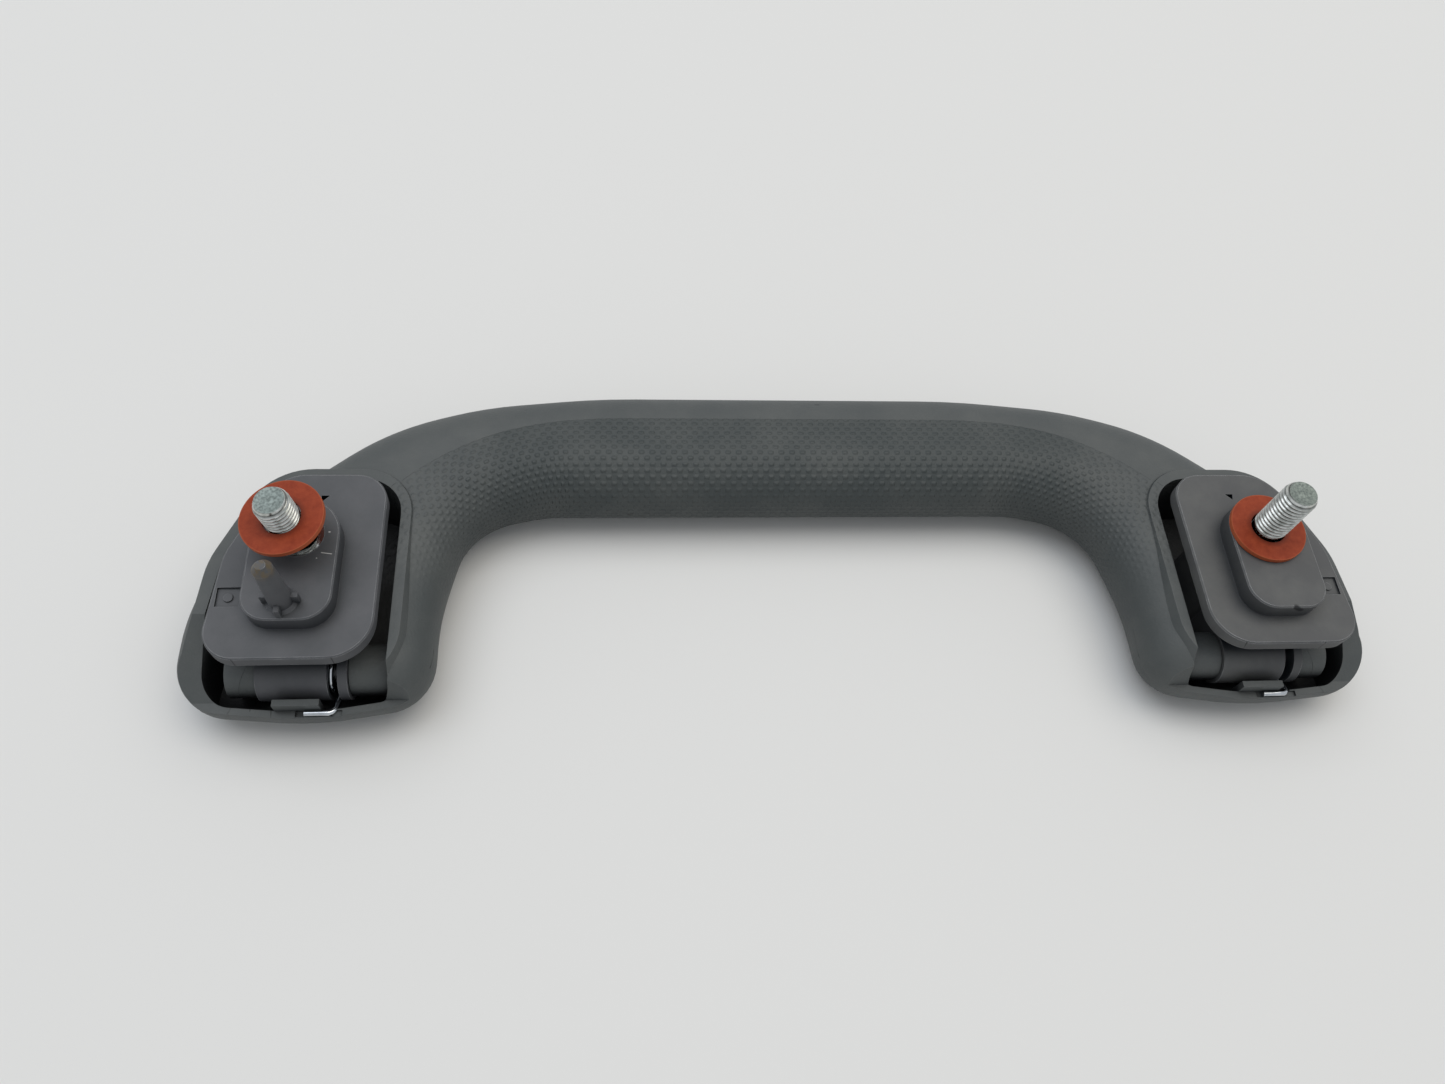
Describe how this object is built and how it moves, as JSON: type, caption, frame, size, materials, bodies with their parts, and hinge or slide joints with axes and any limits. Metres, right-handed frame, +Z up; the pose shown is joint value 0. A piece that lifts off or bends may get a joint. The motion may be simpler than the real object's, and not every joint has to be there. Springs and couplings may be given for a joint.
{
  "type": "folding roof grab handle",
  "caption": "Folding grab handle for a vehicle roof: a bowed moulded grip on two sprung hinge brackets, each with its screw, sleeve and washer.",
  "frame": {"origin": "middle of the handle on the table, under its bounding box", "axes": "+X along the handle, +Y from the hinge side to the hand bow, +Z up through the screws, away from the cabin face that lies on the table"},
  "size_m": [0.2504, 0.0762, 0.045],
  "materials": {
    "grip_plastic": "grained",
    "bracket_plastic": "fine spark grain",
    "cover_plastic": "fine grain",
    "washer_fibre": "satin",
    "pin_steel": "drawn",
    "spring_steel": "drawn wire",
    "screw_zinc": "zinc plated",
    "sleeve_steel": "turned"
  },
  "bodies": {
    "grip": {"grip": "grip_plastic", "left_hinge_pin": "pin_steel", "right_hinge_pin": "pin_steel", "left_return_spring": "spring_steel", "right_return_spring": "spring_steel"},
    "left_bracket": {"left_bracket": "bracket_plastic", "left_screw": "screw_zinc", "left_spacer_sleeve": "sleeve_steel", "left_retaining_washer": "washer_fibre", "left_screw_cover": "cover_plastic"},
    "right_bracket": {"right_bracket": "bracket_plastic", "right_screw": "screw_zinc", "right_spacer_sleeve": "sleeve_steel", "right_retaining_washer": "washer_fibre", "right_screw_cover": "cover_plastic"}
  },
  "joints": [
    {"name": "left_bracket_hinge", "type": "hinge", "parent": "grip", "child": "left_bracket", "pos_m": [-0.0999, -0.02777, 0.0105], "axis": [1, 0, 0], "range_deg": [0, 95], "stiffness_Nm_per_rad": 0.05, "springref_deg": -34.38, "deforming": ["left_return_spring"]},
    {"name": "right_bracket_hinge", "type": "hinge", "parent": "grip", "child": "right_bracket", "pos_m": [0.0999, -0.02777, 0.0105], "axis": [1, 0, 0], "range_deg": [0, 95], "stiffness_Nm_per_rad": 0.05, "springref_deg": -34.38, "deforming": ["right_return_spring"]}
  ]
}
